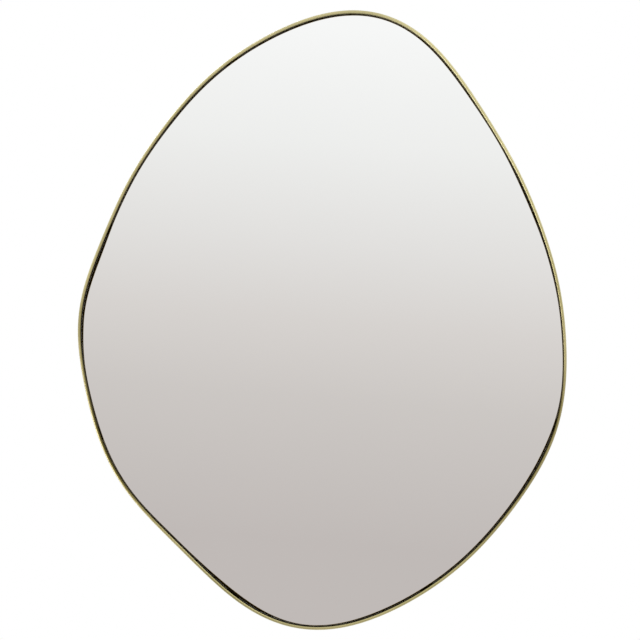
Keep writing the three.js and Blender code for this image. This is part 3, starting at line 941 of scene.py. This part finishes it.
def hanger_ring(side):
    """The D of round wire, turned about its pivot to where the frame has it at rest."""
    node = f"hanger_ring_{side}"
    body = f"{side}_ring_body"
    pivot = Vector(joint_of(body)["pos_m"])
    lean = math.asin((pivot.y - (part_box(node)[0].y + RING_WIRE_RADIUS)) / RING_REACH)
    place = Matrix.Translation(pivot) @ Matrix.Rotation(lean, 4, "X")
    line = ring_middle_line()
    vertices = []
    for index, (x, along) in enumerate(line):
        run = direction(line[index - 1], line[(index + 1) % len(line)])
        for out, up in arc(0, 0, RING_WIRE_RADIUS, 0, 360, RING_WIRE_SIDES)[:-1]:
            vertices.append(tuple(place @ Vector((x + run.y * out, up, along - run.x * out))))
    mesh = mesh_from(node, vertices, strip_faces(len(line), RING_WIRE_SIDES))
    face_outwards(mesh)
    mesh.shade_smooth()
    piece = new_piece(f"wire_ring_{side}", mesh, [HANGER_STEEL])
    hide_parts(node)
    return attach(piece, body)


# ---------------------------------------------------------------- weld beads

def bead_tree(name):
    """Overlapping flattened drops along the seams, each a little different."""
    inputs = {
        "Seams": "Geometry",
        "Pitch": "Float",
        "Height": "Float",
        "Length": "Float",
        "Finish": "Material",
    }
    tree, given = new_tree(name, inputs, "Beads")
    seams = add_node(tree, "GeometryNodeMeshToCurve", {0: given["Seams"]})
    spacing = {"Curve": seams.outputs[0], "Length": given["Pitch"]}
    spots = add_node(tree, "GeometryNodeResampleCurve", spacing, mode="LENGTH")
    run = {"Vector": add_node(tree, "GeometryNodeInputTangent").outputs[0]}
    along = add_node(tree, "FunctionNodeAlignRotationToVector", run, axis="X")
    ball = {"Segments": WELD_DROP_SEGMENTS, "Rings": WELD_DROP_RINGS, "Radius": 1.0}
    drop = add_node(tree, "GeometryNodeMeshUVSphere", ball)
    smooth = add_node(tree, "GeometryNodeSetShadeSmooth", {0: drop.outputs["Mesh"]})
    limits = {2: WELD_UNEVEN[0], 3: WELD_UNEVEN[1], "Seed": WELD_SEED}
    uneven = add_node(tree, "FunctionNodeRandomValue", limits)
    sizes = {0: uneven.outputs[1], 1: given["Height"]}
    height = add_node(tree, "ShaderNodeMath", sizes, operation="MULTIPLY").outputs[0]
    shape = add_node(tree, "ShaderNodeCombineXYZ", {"X": given["Length"], "Y": height, "Z": height})
    copies = add_node(tree, "GeometryNodeInstanceOnPoints", {
        "Points": spots.outputs[0],
        "Instance": smooth.outputs[0],
        "Rotation": along.outputs[0],
        "Scale": shape.outputs[0],
    })
    return close_tree(tree, copies, given["Finish"])


def seam_line(node):
    """The corner between a lug's back and the band's inside, over most of the lug's width."""
    spot = middle(node)
    shares = np.arange(SEAM_SEARCH_STEPS) / SEAM_SEARCH_STEPS
    points, _ = OUTLINE.at(shares)
    nearest = shares[np.abs(points - complex(spot.x, spot.z)).argmin()]
    length_of_outline = np.abs(np.diff(np.append(points, points[0]))).sum()
    reach = WELD_LENGTH / 2 / length_of_outline
    points, outward = OUTLINE.at(nearest + np.linspace(-reach, reach, SEAM_POINTS))
    corner = points + outward * (BAND_TO_BOARD - BAND_FACE)
    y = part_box(node)[1].y
    return [(p.real, y, p.imag) for p in corner]


def weld_beads():
    """One bead along the seam of each lug."""
    vertices, edges = [], []
    for node in LUG_NODES:
        line = seam_line(node)
        start = len(vertices)
        vertices += line
        edges += [(start + i, start + i + 1) for i in range(len(line) - 1)]
    mesh = bpy.data.meshes.new("weld_beads")
    mesh.from_pydata(vertices, edges, [])
    piece = new_piece("weld_beads", mesh)
    sizes = {"Pitch": WELD_PITCH, "Height": WELD_HEIGHT, "Length": WELD_PITCH * WELD_OVERLAP, "Finish": WELD}
    run_tree(piece, bead_tree("weld_bead_ripples"), sizes)
    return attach(piece, ROOT)


# ---------------------------------------------------------------- bumpers

def bumpers():
    """Moulded feet from the board's back to the wall."""
    tip, base, edge = BUMPER_TIP_RADIUS, BUMPER_BASE_RADIUS, BUMPER_EDGE_RADIUS
    inwards, up = BUMPER_BASE_CHAMFER
    tall = -BOARD_BACK
    profile = [
        (0, 0), (base - inwards, 0), (base, up),
        *arc(tip - edge, tall - edge, edge, BUMPER_EDGE_START, 90, BUMPER_EDGE_STEPS),
        (tip / 2, tall), (0, tall),
    ]
    template = new_piece("bumper_template", lathe_mesh("bumper_template", profile, BUMPER_SIDES))
    sharpen(template.data, BUMPER_CRISP_ANGLE)
    places = [(middle(node).x, BOARD_BACK, middle(node).z) for node in BUMPER_NODES]
    piece = repeat("rubber_bumpers", places, [(0, 0, 0)] * len(places), template, RUBBER)
    bpy.data.objects.remove(template)
    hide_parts(*BUMPER_NODES)
    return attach(piece, ROOT)


# ---------------------------------------------------------------- board and tapes

def finish_cad_nodes():
    """The board and the tapes keep their CAD shapes and get finishes."""
    for node, material in [("backboard", LACQUER), *[(tape, FOAM) for tape in TAPE_NODES]]:
        frame["nodes"][node].data.materials.clear()
        frame["nodes"][node].data.materials.append(material)


# ---------------------------------------------------------------- studio

VIEW_SPAN = 0.929  # what the picture's side covers at the band's front
LENS = 100.0
SENSOR = 36.0
CAMERA_ASIDE = -3.3 * MM
CAMERA_UP = 0.1 * MM
BACKDROP_TILT = 0.087
BACKDROP_REACH = 0.2
BACKDROP_STOPS = (
    (0.19, (0.565, 0.520, 0.505)),
    (0.39, (0.645, 0.606, 0.587)),
    (0.50, (0.724, 0.686, 0.667)),
    (0.61, (0.810, 0.788, 0.776)),
    (0.75, (0.911, 0.905, 0.898)),
    (0.91, (0.990, 0.985, 0.985)),
)
FLOOR_RADIUS = 1.3
FLOOR_SIDES = 96
FLOOR_DROP = 0.3
FLOOR_FADE = (0.45 * FLOOR_RADIUS, 0.95 * FLOOR_RADIUS)
LAMPS = (  # name, place, size, power
    ("low_left", (-1.9, -1.1, -1.0), (1.2, 1.2), 20),
    ("high_right", (1.9, -2.2, 1.9), (1.6, 1.6), 18),
    ("rear", (-1.2, 2.4, 1.6), (1.8, 1.4), 34),
)


def camera():
    """Straight in front, as far off as makes the picture's side cover VIEW_SPAN."""
    data = bpy.data.cameras.new("camera")
    data.lens = LENS
    data.sensor_width = SENSOR
    holder = bpy.data.objects.new("camera", data)
    distance = VIEW_SPAN * LENS / SENSOR
    holder.location = (CAMERA_ASIDE, BAND_FRONT - distance, CAMERA_UP)
    holder.rotation_euler = (math.pi / 2, 0, 0)
    bpy.context.scene.collection.objects.link(holder)
    bpy.context.scene.camera = holder


def lamp(name, place, size, power):
    """A plain rectangle of light, aimed at the origin."""
    data = bpy.data.lights.new(name, "AREA")
    data.shape = "RECTANGLE"
    data.size, data.size_y = size
    data.energy = power
    holder = bpy.data.objects.new(name, data)
    holder.location = place
    holder.rotation_euler = (-Vector(place)).to_track_quat("-Z", "Y").to_euler()
    bpy.context.scene.collection.objects.link(holder)


def mixed(tree, share, first, second):
    """The first shader at a share of 0, the second at 1."""
    return add_node(tree, "ShaderNodeMixShader", {0: share, 1: first.outputs[0], 2: second.outputs[0]})


def studio_world():
    """White to the camera, in reflections a backdrop pale above and warm grey below, plain soft light."""
    world = bpy.data.worlds.new("studio")
    bpy.context.scene.world = world
    world.use_nodes = True
    tree = world.node_tree
    path = add_node(tree, "ShaderNodeLightPath").outputs
    rays = {0: path["Is Glossy Ray"], 1: path["Is Transmission Ray"]}
    reflected = add_node(tree, "ShaderNodeMath", rays, operation="MAXIMUM").outputs[0]
    light = add_node(tree, "ShaderNodeBackground", {"Color": STUDIO_LIGHT})
    white = add_node(tree, "ShaderNodeBackground", {"Color": WHITE})
    backdrop = add_node(tree, "ShaderNodeBackground", {"Color": backdrop_fade(tree)})
    with_backdrop = mixed(tree, reflected, light, backdrop)
    all_rays = mixed(tree, path["Is Camera Ray"], with_backdrop, white)
    tree.links.new(all_rays.outputs[0], tree.nodes["World Output"].inputs["Surface"])


def backdrop_fade(tree):
    """The backdrop's colour by height, very slightly paler to the right."""
    coordinates = add_node(tree, "ShaderNodeTexCoord")
    way = add_node(tree, "ShaderNodeSeparateXYZ", {0: coordinates.outputs["Generated"]}).outputs
    tilted = {0: way["X"], 1: BACKDROP_TILT, 2: way["Z"]}
    height = add_node(tree, "ShaderNodeMath", tilted, operation="MULTIPLY_ADD").outputs[0]
    limits = {"Value": height, "From Min": -BACKDROP_REACH, "From Max": BACKDROP_REACH}
    share = add_node(tree, "ShaderNodeMapRange", limits).outputs[0]
    fade = add_node(tree, "ShaderNodeValToRGB", {0: share})
    ramp = fade.color_ramp
    for _ in BACKDROP_STOPS[2:]:
        ramp.elements.new(0.5)
    for element, (position, colour) in zip(ramp.elements, BACKDROP_STOPS):
        element.position = position
        element.color = (*colour, 1)
    return fade.outputs[0]


def floor():
    """A pale disc below the mirror that fades out towards its rim and can't be seen from beneath."""
    mesh = bpy.data.meshes.new("floor")
    with editable(mesh) as shape:
        bmesh.ops.create_circle(shape, cap_ends=True, segments=FLOOR_SIDES, radius=FLOOR_RADIUS)
    mesh.transform(Matrix.Translation((0, 0, BAND_LOW.z - FLOOR_DROP)))
    finish = Finish("pale_floor", {"Roughness": 0.7})
    grain = finish.noise(finish.place(), scale=30.0, detail=4.0)
    finish.to_shader("Base Color", finish.blend(grain, *FLOOR_TONES))
    flat = {0: finish.place((1, 1, 0))}
    reach = finish.node("ShaderNodeVectorMath", flat, operation="LENGTH").outputs["Value"]
    beneath = finish.node("ShaderNodeNewGeometry").outputs["Backfacing"]
    fade = finish.spread(reach, 1.0, 0.0, *FLOOR_FADE)
    finish.to_shader("Alpha", finish.math("SUBTRACT", fade, beneath))
    piece = new_piece("floor", mesh, [finish.material])


# ---------------------------------------------------------------- build

frame_band()
mirror_glass()
for lug_node in LUG_NODES:
    frame_lug(lug_node)
weld_beads()
screws("lug_screws", LUG_SCREW_NODES, LUG_THICKNESS, LUG_SCREW_SEED)
for side, seed in HANGER_SCREW_SEEDS.items():
    hanger_strap(side)
    hanger_ring(side)
    screw_nodes = [f"hanger_screw_{side}_{i}" for i in (1, 2)]
    screws(f"hanger_screws_{side}", screw_nodes, 2 * STRAP_SHEET, seed)
bumpers()
finish_cad_nodes()

camera()
studio_world()
floor()
for settings in LAMPS:
    lamp(*settings)
bpy.context.scene.view_settings.view_transform = "Standard"
